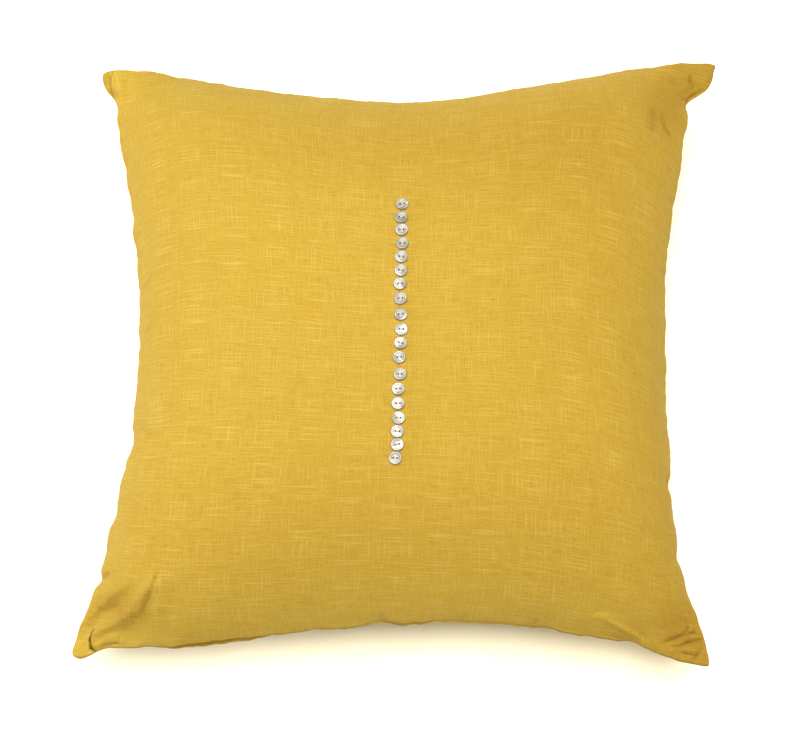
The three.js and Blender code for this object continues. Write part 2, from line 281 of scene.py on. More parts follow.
# What is kept of its motion: rounds of smoothing that give the swell to leave out, share of the rest, most
# movement in mm, the distances in mm over which it sets in from the seams and from the floor, rounds of
# smoothing once it is on the finer cells, and height up to which the back is held on the floor
SWELL_ROUNDS = 25
WRINKLE_SHARE = 0.9
MOST_WRINKLE = 4.0
WRINKLE_SEAM_FADE = 12.0
FLOOR_REACH = 15.0
REFINED_ROUNDS = 4
FLOOR_TOUCH_M = 1e-6

# The back's pattern is the face's mirrored and moved aside: where it ends, in sides of the cover
BACK_PATTERN_END = 2.5

# Two-hole shell button, in mm: rings of the top from the middle out, and of the foot
BUTTON_TOP = [
    (0.0, 1.43),
    (1.0, 1.43),
    (2.1, 1.45),
    (2.7, 1.50),
    (3.15, 1.62),
    (3.5, 1.80),
    (3.8, 1.93),
    (4.1, 2.0),
    (4.35, 1.98),
    (4.6, 1.86),
    (4.8, 1.60),
    (4.91, 1.28),
    (4.95, 0.95),
]
BUTTON_FOOT = [
    (0.0, 0.0),
    (2.4, 0.0),
    (3.9, 0.02),
    (4.35, 0.12),
    (4.7, 0.40),
    (4.95, 0.95),
]

# Sectors of the button and the radius from which it has them all, radius at the rim, gap to the cloth, the
# share of the radius that a tilt adds to the gap, and the distance over which the slope of the cloth is read
BUTTON_SECTORS = 40
FULL_SECTORS_FROM = 2.6
RIM_RADIUS = BUTTON_TOP[-1][0]
BUTTON_GAP = 0.55
TILT_ROOM = 0.85
PLACING_STEP = 5.0

# Holes in mm: radius, places either side of the middle, width and drop of the eased edge, and what is kept
# clear round it
HOLE_RADIUS = 0.68
HOLE_OFFSET = 1.42
HOLE_PLACES = (-HOLE_OFFSET, HOLE_OFFSET)
HOLE_SECTORS = 20
HOLE_EASE = 0.14
HOLE_DROP = 0.12
HOLE_CLEAR = 0.12

# Buttons from the top of the row down: place on the pattern in mm, turn and tilt in degrees, then the tone of
# the shell from dark grey (0) to white (1), and its pale band, white shell partly painted as a reflection:
# the way across it in degrees, its middle and half width in mm, and the strength of the painted highlight on
# the rim
BUTTONS = [
    (102.6, -0.4, 0, 1, 0.30, -60, 1.2, 0.9, 0.3),
    (90.9, -1.0, -9, -1, 0.22, 0, 9, 1, 0.15),
    (80.5, -0.5, -3, 2, 0.46, 0, 9, 1, 0.7),
    (69.1, 0.1, 3, 0, 0.28, 0, 9, 1, 0.35),
    (57.9, -0.4, -7, 1, 0.36, 215, 3.5, 1.4, 0.5),
    (46.6, -0.6, -11, 0, 0.34, 225, 4.0, 2.3, 0.4),
    (35.5, -1.3, 3, -2, 0.34, 210, 3.2, 3.4, 0.4),
    (23.5, -0.7, 0, 1, 0.34, 0, 9, 1, 0.45),
    (10.4, -0.4, 7, 0, 0.28, 300, 4.0, 1.5, 0.35),
    (-1.8, 0.3, -3, 2, 0.36, -45, 3.0, 5.2, 0.5),
    (-13.0, -0.1, -16, -1, 0.36, 160, 3.0, 3.3, 0.5),
    (-24.5, -0.9, 0, 1, 0.38, 45, -0.5, 1.0, 0.6),
    (-38.2, 0.0, -6, 0, 0.42, 0, 9, 1, 0.45),
    (-50.1, -1.1, 0, 1, 0.38, 150, 3.0, 3.4, 0.4),
    (-61.8, -0.9, 0, -1, 0.42, 180, 2.5, 4.8, 0.5),
    (-73.3, -0.1, -4, 0, 0.42, 35, 3.0, 3.8, 0.4),
    (-83.8, -0.6, -9, 1, 0.42, 215, 2.4, 4.6, 0.5),
    (-94.1, -0.3, 11, 1, 0.44, -60, 1.5, 2.8, 0.5),
    (-104.5, -1.3, -4, 0, 0.38, 225, 4.2, 1.8, 0.6),
]

# Camera: aim, distance and angle off the face's normal towards the bottom edge, lens and sensor in mm
AIM_MM = (0.5, -8.0, 70.0)
CAMERA_DISTANCE_MM = 3300.0
CAMERA_TILT = math.radians(17)
CAMERA_LENS = 188.0
CAMERA_SENSOR = 36.0
CAMERA_REACH_M = 50.0

# Floor: colour and half a side in metres
FLOOR_COLOUR = (0.93, 0.86, 0.64)
FLOOR_HALF_M = 8.0

# Area lights: name, place and side in metres, power in watts, and colour
LIGHT_AIM_M = (0, 0, 0.05)
LIGHTS = [
    ("overhead", (0, 0.3, 3.0), 3.0, 264, (1, 1, 1)),
    ("over_front", (0, -0.8, 3.0), 1.5, 24, (1, 1, 1)),
    ("left_low", (-2.8, 0.2, 0.7), 1.2, 80, (0.97, 1.03, 1.18)),
    ("right_fill", (2.6, 0.3, 1.3), 1.6, 26, (1.02, 0.98, 0.72)),
    ("front_low", (0, -2.8, 0.5), 0.8, 8, (1, 1, 1)),
]
WORLD_STRENGTH = 0.02


# Section of the filled cover


def section_sums():
    """Stations of a section, with its reach and its drop so far as fractions of the whole."""
    middle = (np.arange(SECTION_STEPS) + 0.5) / SECTION_STEPS
    slope = EDGE_SLOPE * middle**BEND_POWER
    reach = np.concatenate([[0], np.cumsum(np.cos(slope))])
    drop = np.concatenate([[0], np.cumsum(np.sin(slope))])
    return np.linspace(0, 1, SECTION_STEPS + 1), reach / reach[-1], drop / drop[-1]


STATIONS, REACH, DROP = section_sums()


def reach_at(t):
    return np.sign(t) * np.interp(np.abs(t), STATIONS, REACH)


def rise_at(t):
    return 1 - np.interp(np.abs(t), STATIONS, DROP)


# Seams and panels; u and v are arrays from -1 to 1, and points have x, y and z in mm along their last axis


def draw_in_at(side, s):
    depth, deepest, start_power, end_power = DRAW_INS[side]
    t = np.where(s < deepest, s / deepest, (1 - s) / (1 - deepest))
    power = np.where(s < deepest, start_power, end_power)
    return depth * np.clip(t * (2 - t), 0, 1) ** power


def corner_point(name):
    return np.array(CORNERS[name]) + (0, 0, SEAM_HEIGHT)


def lift_at(corner, s):
    return CORNERS[corner][2] * np.clip(1 - s / LIFT_REACH, 0, 1) ** 2


def seam_points(side, s):
    start, end, inward = SIDES[side]
    inset = draw_in_at(side, s)
    x0, y0, _ = CORNERS[start]
    x1, y1, _ = CORNERS[end]
    x = x0 + (x1 - x0) * s + inward[0] * inset
    y = y0 + (y1 - y0) * s + inward[1] * inset
    z = SEAM_HEIGHT + lift_at(start, s) + lift_at(end, 1 - s)
    return np.stack([x, y, z], -1)


def beside_seam(side, u, v):
    """How far each place lies along a seam, and how far in from it, in mm."""
    inward = SIDES[side][2]
    run, across = (v, u) if inward[0] else (u, v)
    return (run + 1) * HALF_COVER, (1 + across * sum(inward)) * HALF_COVER


def add_nips(points, u, v, nips):
    for side, along, half_width, depth in nips:
        run, from_seam = beside_seam(side, u, v)
        pull = depth * np.exp(-(((run - along) / half_width) ** 2) - from_seam / NIP_FADE)
        points[..., 0] += SIDES[side][2][0] * pull
        points[..., 1] += SIDES[side][2][1] * pull


def round_tips(points, u, v):
    """Draws the cloth in at the four tips, so that each ends round and not in a point."""
    from_tip = (2 - np.abs(u) - np.abs(v)) * HALF_COVER
    pull = TIP_ROUNDING / 2 * np.exp(-from_tip / TIP_ROUNDING)
    points[..., 0] -= np.sign(u) * pull
    points[..., 1] -= np.sign(v) * pull


def span_points(u, v):
    """Points of the sheet that spans the four seams, before the filling lifts it."""
    a = (u + (reach_at(u) - u) * rise_at(v) + 1) / 2
    b = (v + (reach_at(v) - v) * rise_at(u) + 1) / 2
    to_a, to_b = a[..., None], b[..., None]
    points = (1 - to_b) * seam_points("bottom", a) + to_b * seam_points("top", a)
    points += (1 - to_a) * seam_points("left", b) + to_a * seam_points("right", b)
    points -= (1 - to_a) * (1 - to_b) * corner_point("bottom_left")
    points -= to_a * (1 - to_b) * corner_point("bottom_right")
    points -= (1 - to_a) * to_b * corner_point("top_left")
    points -= to_a * to_b * corner_point("top_right")
    add_nips(points, u, v, NIPS)
    round_tips(points, u, v)
    return points


def seam_distance(u, v):
    return (1 - np.maximum(np.abs(u), np.abs(v))) * HALF_COVER


def to_line(place, start, end):
    """Distance of each place from a line, and how far it lies to the left of the way from start to end."""
    start = np.array(start, float)
    way = np.array(end, float) - start
    t = np.clip((place - start) @ way / (way @ way), 0, 1)
    gap = place - (start + t[..., None] * way)
    left = (way[0] * gap[..., 1] - way[1] * gap[..., 0]) / np.linalg.norm(way)
    return np.linalg.norm(gap, axis=-1), left


def fold_height(u, v):
    place = np.stack([u, v], -1) * HALF_COVER
    height = np.zeros(u.shape)
    for start, end, half_width, fold in FOLDS:
        gap, _ = to_line(place, start, end)
        height += fold * np.exp(-((gap / half_width) ** 2))
    return height * (1 - np.exp(-seam_distance(u, v) / FOLD_SEAM_FADE))


def crease_parts(u, v):
    """Height of the creases, each a ridge or furrow with a step up to its left, and their furrows alone."""
    place = np.stack([u, v], -1) * HALF_COVER
    height, furrow = np.zeros(u.shape), np.zeros(u.shape)
    for start, end, half_width, fold, step in CREASES:
        gap, left = to_line(place, start, end)
        line = np.exp(-((gap / half_width) ** 2))
        height += fold * line + step * np.tanh(left / half_width) * np.exp(-((gap / STEP_REACH) ** 2))
        furrow = np.maximum(furrow, -fold * line)
    still = 1 - np.exp(-seam_distance(u, v) / CREASE_SEAM_FADE)
    return height * still, furrow * still


def crown_height(u, v, rise):
    cloth = CLOTH_THICKNESS * (1 - np.exp(-seam_distance(u, v) / FOLD_SEAM_FADE))
    return rise * rise_at(u) * rise_at(v) + cloth


def face_points(u, v):
    points = span_points(u, v)
    crown = crown_height(u, v, FRONT_RISE)
    points[..., 2] += crown + np.maximum(fold_height(u, v), -DEEPEST_FOLD * crown)
    return points


def above_floor(z):
    eased = (z + CONTACT_SOFTNESS) ** 2 / (4 * CONTACT_SOFTNESS)
    return np.where(z <= -CONTACT_SOFTNESS, 0, np.where(z >= CONTACT_SOFTNESS, z, eased))


def back_points(u, v):
    points = span_points(u, v)
    points[..., 2] = above_floor(points[..., 2] - crown_height(u, v, BACK_FALL))
    return points


# Sewn edge


def seam_wave(u, v, column):
    """Small waves that the stitches draw into a panel along its seams, by height or by way outwards."""
    place = np.arctan2(v, u) * 4 * COVER_SIDE / (2 * math.pi)
    wave = np.zeros(u.shape)
    for row in SEAM_WAVES:
        spacing, phase = row[0], row[3]
        turns = round(4 * COVER_SIDE / spacing) / (4 * COVER_SIDE)
        swing = SLOW_SWING[0] * np.sin(place / SLOW_SWING[1] + phase)
        swing += QUICK_SWING[0] * np.sin(place / QUICK_SWING[1] + 2 * phase)
        wave += row[column] * np.sin(2 * math.pi * turns * place + phase + swing)
    return wave


def lip_out(u, v):
    out = np.zeros(u.shape)
    for side, along, half_width, way in SEAM_LIPS:
        run, from_seam = beside_seam(side, u, v)
        off = (run - along) / half_width
        out += way * np.exp(-(off**4) - from_seam / NIP_FADE)
    return out


def roll_seam(points, u, v, up):
    """Rolls a panel over at its seam, so that the seam lies in a groove between the two panels."""
    near = seam_distance(u, v)
    rolled = 1 - np.exp(-near / SEAM_ROLL_WIDTH)
    points[..., 2] += up * SEAM_ROLL * rolled * np.exp(-near / SEAM_ROLL_REACH)
    points[..., 2] += up * seam_wave(u, v, 1) * rolled * np.exp(-near / SEAM_WAVE_FADE)
    out = SEAM_ROLL_OUT + (lip_out(u, v) if up < 0 else 0)
    out *= np.exp(-(((near - SEAM_ROLL_WIDTH) / SEAM_ROLL_WIDTH) ** 2))
    out += seam_wave(u, v, 2) * np.exp(-near / (2 * SEAM_WAVE_FADE))
    sideways = np.clip((np.abs(u) - np.abs(v)) * CORNER_TURN + 0.5, 0, 1)
    points[..., 0] += sideways * np.sign(u) * out
    points[..., 1] += (1 - sideways) * np.sign(v) * out


# Cushion mesh


def grid_lines(cells):
    even = np.linspace(-1, 1, cells + 1)
    lines = even + GRID_CROWDING * np.sin(math.pi * even) / math.pi
    lines[0], lines[-1] = -1, 1
    return lines


INNER = (slice(1, -1), slice(1, -1))


def panel_numbers(cells):
    """Vertex numbers of the face and back panels, which share the seam."""
    face = np.arange((cells + 1) ** 2).reshape(cells + 1, cells + 1)
    back = face.copy()
    back[INNER] = face.size + np.arange((cells - 1) ** 2).reshape(cells - 1, cells - 1)
    return face, back


def quads(panel):
    return np.stack([panel[:-1, :-1], panel[1:, :-1], panel[1:, 1:], panel[:-1, 1:]], -1).reshape(-1, 4)


def both_panels(face, back):
    """One row for each vertex of the closed cushion, out of grids of the face and the back."""
    depth = face.shape[2]
    return np.concatenate([face.reshape(-1, depth), back[INNER].reshape(-1, depth)])


def cushion_object(name, points, cells):
    face, back = panel_numbers(cells)
    mesh = bpy.data.meshes.new(name)
    mesh.from_pydata(points.tolist(), [], np.concatenate([quads(face), quads(back)[:, ::-1]]).tolist())
    obj = bpy.data.objects.new(name, mesh)
    bpy.context.scene.collection.objects.link(obj)
    return obj


def cloth_motion():
    """Motion of both panels of a coarse cover that pressure fills, its flat pattern being the rest shape."""
    lines = grid_lines(SIM_CELLS)
    u, v = np.meshgrid(lines, lines, indexing="ij")
    start = both_panels(face_points(u, v), back_points(u, v)) * MM
    pattern = both_panels(np.stack([u, v], -1), np.stack([u, v], -1))
    obj = cushion_object("coarse_cover", start, SIM_CELLS)
    obj.shape_key_add(name="Basis")
    flat = np.zeros(start.shape)
    flat[:, :2] = pattern * HALF_COVER * MM * FLAT_FIT
    flat_key = obj.shape_key_add(name="flat")
    flat_key.data.foreach_set("co", flat.ravel())
    held = obj.vertex_groups.new(name="held")
    on_seam = np.abs(pattern).max(1) >= 1
    held.add(np.flatnonzero(on_seam | (start[:, 2] <= FLOOR_TOUCH_M)).tolist(), 1.0, "REPLACE")
    add_cloth(obj, flat_key)
    moved = settled_points(obj, start.shape)
    bpy.data.objects.remove(obj)
    face, back = panel_numbers(SIM_CELLS)
    motion = (moved - start) / MM
    return motion[face], motion[back]


def add_cloth(obj, flat_key):
    cloth = obj.modifiers.new("cover", "CLOTH")
    settings = cloth.settings
    settings.quality = 5
    settings.mass = 0.15
    settings.air_damping = 2
    settings.tension_stiffness = 20
    settings.compression_stiffness = 20
    settings.shear_stiffness = 8
    settings.bending_stiffness = 0.2
    settings.use_pressure = True
    settings.uniform_pressure_force = 4
    settings.vertex_group_mass = "held"
    settings.pin_stiffness = 50
    settings.rest_shape_key = flat_key
    settings.effector_weights.gravity = 0
    cloth.collision_settings.use_self_collision = False
    cloth.collision_settings.use_collision = False
    cloth.point_cache.frame_start = 1
    cloth.point_cache.frame_end = SIM_FRAMES


def settled_points(obj, shape):
    scene = bpy.context.scene
    for number in range(1, SIM_FRAMES + 1):
        scene.frame_set(number)
    evaluated = obj.evaluated_get(bpy.context.evaluated_depsgraph_get())
    points = np.empty(shape[0] * shape[1])
    evaluated.to_mesh().vertices.foreach_get("co", points)
    evaluated.to_mesh_clear()
    scene.frame_set(1)
    return points.reshape(shape)


def smoothed(grid, rounds):
    """A grid of values averaged with its neighbours, round after round."""
    for _ in range(rounds):
        for axis in (0, 1):
            ends = [(1, 1) if axis == k else (0, 0) for k in range(3)]
            wide = np.pad(grid, ends, mode="edge")
            cut = [np.take(wide, range(k, k + grid.shape[axis]), axis) for k in range(3)]
            grid = (cut[0] + 2 * cut[1] + cut[2]) / 4
    return grid


def refined(grid, coarse, fine):
    """A grid on the coarse lines read on the fine ones, first along one side and then along the other."""
    for _ in range(2):
        grid = np.swapaxes(np.apply_along_axis(lambda line: np.interp(fine, coarse, line), 0, grid), 0, 1)
    return smoothed(grid, REFINED_ROUNDS)


def wrinkles(motion, u, v):
    """The simulated motion without the smooth swell of the panel, capped softly and still at the seams."""
    short = WRINKLE_SHARE * (motion - smoothed(motion, SWELL_ROUNDS))
    size = np.linalg.norm(short, axis=2, keepdims=True)
    short *= MOST_WRINKLE / (MOST_WRINKLE + size)
    still = 1 - np.exp(-seam_distance(u, v) / WRINKLE_SEAM_FADE)
    return short * still[..., None]


def cover_grids():
    lines = grid_lines(COVER_CELLS)
    u, v = np.meshgrid(lines, lines, indexing="ij")
    face = face_points(u, v)
    face[..., 2] += crease_parts(u, v)[0]
    back = back_points(u, v)
    off_floor = np.clip(back[..., 2:] / FLOOR_REACH, 0, 1)
    for panel, up in ((face, 1), (back, -1)):
        roll_seam(panel, u, v, up)
        add_nips(panel, u, v, COVER_NIPS)
    coarse = grid_lines(SIM_CELLS)
    face_motion, back_motion = cloth_motion()
    face += wrinkles(refined(face_motion, coarse, lines), u, v)
    back += wrinkles(refined(back_motion, coarse, lines), u, v) * off_floor
    back[..., 2] = np.maximum(back[..., 2], 0)
    return u, v, face, back


def make_cushion():
    u, v, face, back = cover_grids()
    obj = cushion_object("linen_cushion", both_panels(face, back) * MM, COVER_CELLS)
    mesh = obj.data
    place = np.stack([(u + 1) / 2, (v + 1) / 2], -1)
    loops = np.empty(len(mesh.loops), int)
    mesh.loops.foreach_get("vertex_index", loops)
    uv = both_panels(place, place)[loops]
    back_part = slice(len(loops) // 2, None)
    uv[back_part, 0] = BACK_PATTERN_END - uv[back_part, 0]
    layer = mesh.uv_layers.new(name="pattern")
    layer.data.foreach_set("uv", uv.astype(np.float32).ravel())
    add_painted_light_and_shade(mesh, u, v)
    mesh.shade_smooth()
    return obj


def add_painted_light_and_shade(mesh, u, v):
    """Marks how deep in a crease or in the seam each place lies, for the painted shade there, and the patches
    of painted light and shade, in the cloth's colour.
    """
    # Painted shade along the seam and in the crease furrows
    seam = STITCH_SHADE * np.exp(-((seam_distance(u, v) / STITCH_WIDTH) ** 2))
    face = np.maximum(np.clip(crease_parts(u, v)[1] / DARKEST_FURROW, 0, 1), seam)
    add_values(mesh, "painted_crease_shade", face, seam)
    place = np.stack([u, v], -1) * HALF_COVER
    # Patches of painted light and shade, partly the cloth's deeper tone in the corners
    painted_light_shade_and_tone = np.zeros(u.shape)
    for x, y, across, along, share in PAINTED_LIGHT_SHADE_AND_TONE:
        painted_light_shade_and_tone += share * np.exp(-np.sum(((place - (x, y)) / (across, along)) ** 2, -1))
    add_values(mesh, "painted_light_shade_and_tone", painted_light_shade_and_tone, painted_light_shade_and_tone)


def add_values(mesh, name, face, back):
    values = both_panels(face[..., None], back[..., None])
    attribute = mesh.attributes.new(name, "FLOAT", "POINT")
    attribute.data.foreach_set("value", values.astype(np.float32).ravel())


# Materials


class Nodes:
    """Short ways to add nodes to a material and join them."""

    def __init__(self, name):
        self.material = bpy.data.materials.new(name)
        self.material.use_nodes = True
        self.tree = self.material.node_tree
        self.shader = self.tree.nodes["Principled BSDF"]

    def put(self, socket, value):
        if isinstance(value, bpy.types.NodeSocket):
            self.tree.links.new(value, socket)
        else:
            socket.default_value = value

    def add(self, kind, output=0, settings=None, **inputs):
        node = self.tree.nodes.new(kind)
        for name, value in (settings or {}).items():
            setattr(node, name, value)
        for name, value in inputs.items():
            self.put(node.inputs[name.replace("_", " ")], value)
        return node.outputs[output]

    def math(self, operation, a, b=0.0, c=0.0):
        node = self.tree.nodes.new("ShaderNodeMath")
        node.operation = operation
        for socket, value in zip(node.inputs, (a, b, c)):
            self.put(socket, value)
        return node.outputs[0]

    def mix(self, share, a, b, blend="MIX", clamp=True):
        node = self.tree.nodes.new("ShaderNodeMix")
        node.data_type = "RGBA"
        node.blend_type = blend
        node.clamp_factor = clamp
        self.put(node.inputs[0], share)
        self.put(node.inputs[6], a)
        self.put(node.inputs[7], b)
        return node.outputs[2]

    def ramp(self, share, *stops):
        node = self.tree.nodes.new("ShaderNodeValToRGB")
        self.put(node.inputs[0], share)
        while len(node.color_ramp.elements) < len(stops):
            node.color_ramp.elements.new(0.5)
        for element, (place, value) in zip(node.color_ramp.elements, stops):
            element.position = place
            element.color = (*value, 1)
        return node.outputs[0]

    def grey(self, share, *stops):
        return self.ramp(share, *[(place, (value, value, value)) for place, value in stops])

    def split(self, vector):
        node = self.tree.nodes.new("ShaderNodeSeparateXYZ")
        self.put(node.inputs[0], vector)
        return node.outputs

    def join(self, x, y, z=0.0):
        node = self.tree.nodes.new("ShaderNodeCombineXYZ")
        for socket, value in zip(node.inputs, (x, y, z)):
            self.put(socket, value)
        return node.outputs[0]

    def length(self, x, y):
        return self.math("SQRT", self.math("MULTIPLY_ADD", x, x, self.math("MULTIPLY", y, y)))

    def noise(self, vector, scale, detail=2.0, roughness=0.5):
        return self.add("ShaderNodeTexNoise", Vector=vector, Scale=scale, Detail=detail, Roughness=roughness)

    def bump(self, height, strength, distance, normal=None):
        inputs = {"Height": height, "Strength": strength, "Distance": distance}
        if normal is not None:
            inputs["Normal"] = normal
        return self.add("ShaderNodeBump", **inputs)


# Linen: colours of slubs and of light and deep yarn, the painted shade of creases and the seam, and what the
# patches of painted light and shade multiply its colour by
LINEN_SLUB = (0.362, 0.250, 0.047)
LINEN_LIGHT = (0.330, 0.216, 0.0318)
LINEN_DEEP = (0.200, 0.108, 0.0022)
LINEN_PAINTED_CREASE_SHADE = (0.102, 0.046, 0.002)
LINEN_SHADE_AND_DEEP_TONE = (0.56, 0.42, 0.20)
LINEN_SHEEN = (1.0, 0.84, 0.28)
THREAD_PITCH = 0.85
WEFT_SKEW = 0.07

# Yarn noise: length and width in mm, seed and detail
WEFT_YARN = (12.0, 0.48, 3.0, 1.0)
WARP_YARN = (10.0, 0.48, 11.0, 1.0)
WEFT_SLUB = (34.0, 0.80, 21.0, 0.0)
WARP_SLUB = (28.0, 0.80, 31.0, 0.0)
WEFT_BAND = (60.0, 3.5, 51.0, 2.0)
WARP_BAND = (60.0, 3.0, 61.0, 2.0)

# Where a slub starts to show in its noise, and where it is full
WEFT_SLUB_RANGE = ((0.58, 0.0), (0.74, 1.0))
WARP_SLUB_RANGE = ((0.60, 0.0), (0.76, 1.0))

# Noise that runs no way in particular: scale to the millimetre, detail and roughness
BLOTCHES = {
    "patches": (0.012, 3.0, 0.55),
    "mottle": (0.16, 3.0, 0.6),
    "grain": (1.1, 2.0, 0.6),
    "cockle": (0.06, 2.0, 0.5),
}

# Share of each texture in the tone of the yarn, and of the slubs of weft and warp in the slub colour
TONE_SHARES = {
    "weft": 0.75,
    "warp": 0.65,
    "weft_band": 0.07,
    "warp_band": 0.04,
    "patches": 0.09,
    "mottle": 0.12,
    "grain": 1.30,
    "weave": 0.25,
}
SLUB_SHARES = (0.46, 0.36)

# Share of each texture in the relief, strength and height in metres of the relief and of a broader cockle,
# then roughness by tone, and how the painted shade of creases and the seam sets in
RELIEF_SHARES = {"weave": 0.5, "slub": 0.8, "weft": 1.0, "warp": 0.9, "grain": 0.6}
RELIEF = (0.6, 0.0004)
COCKLE = (0.20, 0.0025)
LINEN_ROUGHNESS = ((0.2, 0.95), (0.8, 0.80))
PAINTED_CREASE_SHADE_RANGE = ((0.0, 0.0), (1.0, 0.95))


def drawn_noise(n, along, across, yarn):
    """Noise drawn out along one way of the cloth."""
    length, width, seed, detail = yarn
    place = n.join(n.math("DIVIDE", along, length), n.math("DIVIDE", across, width), seed)
    return n.noise(place, 1.0, detail, 0.5)


def weave_height(n, x, y):
    """Plain weave: each thread crowned where it passes over the other."""
    across = n.math("SINE", n.math("MULTIPLY", x, math.pi / THREAD_PITCH))
    along = n.math("SINE", n.math("MULTIPLY", y, math.pi / THREAD_PITCH))
    weft_on_top = n.math("GREATER_THAN", n.math("MULTIPLY", across, along), 0.0)
    over = n.math("MULTIPLY", weft_on_top, n.math("ABSOLUTE", along))
    under = n.math("MULTIPLY", n.math("SUBTRACT", 1.0, weft_on_top), n.math("ABSOLUTE", across))
    return n.math("ADD", over, under)


def linen_textures(n, x, y, cloth):
    """The textures of the cloth by name, each from 0 to 1."""
    return {
        "weft": drawn_noise(n, x, y, WEFT_YARN),
        "warp": drawn_noise(n, y, x, WARP_YARN),
        "weft_band": drawn_noise(n, x, y, WEFT_BAND),
        "warp_band": drawn_noise(n, y, x, WARP_BAND),
        "patches": n.noise(cloth, *BLOTCHES["patches"]),
        "mottle": n.noise(cloth, *BLOTCHES["mottle"]),
        "grain": n.noise(cloth, *BLOTCHES["grain"]),
        "weave": weave_height(n, x, y),
    }


def slub_share(n, x, y):
    weft = n.grey(drawn_noise(n, x, y, WEFT_SLUB), *WEFT_SLUB_RANGE)
    warp = n.grey(drawn_noise(n, y, x, WARP_SLUB), *WARP_SLUB_RANGE)
    return n.math("ADD", n.math("MULTIPLY", weft, SLUB_SHARES[0]), n.math("MULTIPLY", warp, SLUB_SHARES[1]))


def linen_colour(n, tone, slub):
    colour = n.ramp(tone, (0.0, LINEN_DEEP), (1.0, LINEN_LIGHT))
    colour = n.mix(slub, colour, (*LINEN_SLUB, 1))
    # Patches of painted light and shade, partly the cloth's deeper tone in the corners
    painted_light_shade_and_tone = n.add("ShaderNodeAttribute", output=2, settings={"attribute_name": "painted_light_shade_and_tone"})
    colour = n.mix(painted_light_shade_and_tone, colour, n.mix(1.0, colour, (*LINEN_SHADE_AND_DEEP_TONE, 1), "MULTIPLY"), clamp=False)
    # Painted shade in the crease furrows and along the seam
    painted_crease_shade = n.add("ShaderNodeAttribute", output=2, settings={"attribute_name": "painted_crease_shade"})
    return n.mix(n.grey(painted_crease_shade, *PAINTED_CREASE_SHADE_RANGE), colour, (*LINEN_PAINTED_CREASE_SHADE, 1))


def linen_material():
    n = Nodes("slub_linen")
    uv = n.add("ShaderNodeUVMap", settings={"uv_map": "pattern"})
    x, y, _ = n.split(uv)
    x, y = n.math("MULTIPLY", x, COVER_SIDE), n.math("MULTIPLY", y, COVER_SIDE)
    y = n.math("MULTIPLY_ADD", x, WEFT_SKEW, y)
    cloth = n.join(x, y)
    textures = linen_textures(n, x, y, cloth)
    tone = 0.5
    for name, share in TONE_SHARES.items():
        tone = n.math("MULTIPLY_ADD", n.math("SUBTRACT", textures[name], 0.5), share, tone)
    textures["slub"] = slub_share(n, x, y)
    height = 0.0
    for name, share in RELIEF_SHARES.items():
        height = n.math("MULTIPLY_ADD", textures[name], share, height)
    cockle = n.bump(n.noise(cloth, *BLOTCHES["cockle"]), *COCKLE)
    n.put(n.shader.inputs["Base Color"], linen_colour(n, tone, textures["slub"]))
    n.put(n.shader.inputs["Roughness"], n.grey(tone, *LINEN_ROUGHNESS))
    n.put(n.shader.inputs["Normal"], n.bump(height, *RELIEF, cockle))
    n.shader.inputs["Sheen Weight"].default_value = 0.12
    n.shader.inputs["Sheen Roughness"].default_value = 0.4
    n.shader.inputs["Sheen Tint"].default_value = (*LINEN_SHEEN, 1)
    n.shader.inputs["Specular IOR Level"].default_value = 0.08
    return n.material


# Buttons


def profile_at(profile, radius):
    return np.interp(radius, [r for r, _ in profile], [z for _, z in profile])


def button_rings(profile):
    """Plan points of the rings of a button, of its holes and of a ring just outside each hole."""
    points = [(0.0, 0.0)]
    for radius, _ in profile[1:]:
        points += ring(0.0, radius, BUTTON_SECTORS if radius > FULL_SECTORS_FROM else BUTTON_SECTORS // 2)
    outside = [p for p in points if hole_distance(p) > HOLE_EASE + HOLE_CLEAR]
    holes = []
    for x in HOLE_PLACES:
        for ease in (0.0, HOLE_EASE / 2, HOLE_EASE):
            holes += ring(x, HOLE_RADIUS + ease, HOLE_SECTORS)
    return holes + outside


def ring(x, radius, sectors):
    turns = [2 * math.pi * i / sectors for i in range(sectors)]
    return [(x + radius * math.cos(turn), radius * math.sin(turn)) for turn in turns]


def hole_distance(point):
    """How far a plan point lies outside the nearer hole's edge."""
    return min(math.hypot(point[0] - x, point[1]) for x in HOLE_PLACES) - HOLE_RADIUS


def button_cap(profile, up):
    """One side of the button as points and triangles, open at the holes and at its widest ring."""
    plan = button_rings(profile)
    flat, _, triangles, _, _, _ = delaunay_2d_cdt([Vector(p) for p in plan], [], [], 0, 1e-5)
    points = []
    for x, y in flat:
        ease = max(0.0, 1 - hole_distance((x, y)) / HOLE_EASE)
        z = profile_at(profile, math.hypot(x, y)) - up * HOLE_DROP * ease * ease
        points.append((x, y, z))
    kept = []
    for triangle in triangles:
        middle = [sum(flat[i][k] for i in triangle) / 3 for k in (0, 1)]
        if hole_distance(middle) > 0:
            kept.append(tuple(triangle) if up > 0 else tuple(reversed(triangle)))
    return points, kept


def button_mesh_data():
    """Points and faces of the whole button: two caps, welded at the rim, and the walls of the holes."""
    top, top_faces = button_cap(BUTTON_TOP, 1)
    foot, foot_faces = button_cap(BUTTON_FOOT, -1)
    points = list(top)
    numbers = []
    rim = {plan_key(p): i for i, p in enumerate(top) if math.hypot(p[0], p[1]) > RIM_RADIUS - 0.01}
    for place in foot:
        shared = rim.get(plan_key(place))
        numbers.append(len(points) if shared is None else shared)
        if shared is None:
            points.append(place)
    faces = top_faces + [tuple(numbers[i] for i in face) for face in foot_faces]
    for x in HOLE_PLACES:
        upper, lower = hole_ring(top, x), hole_ring(foot, x)
        for k in range(HOLE_SECTORS):
            after = (k + 1) % HOLE_SECTORS
            faces.append((upper[k], numbers[lower[k]], numbers[lower[after]], upper[after]))
    return points, faces


def plan_key(point):
    return round(point[0], 3), round(point[1], 3)


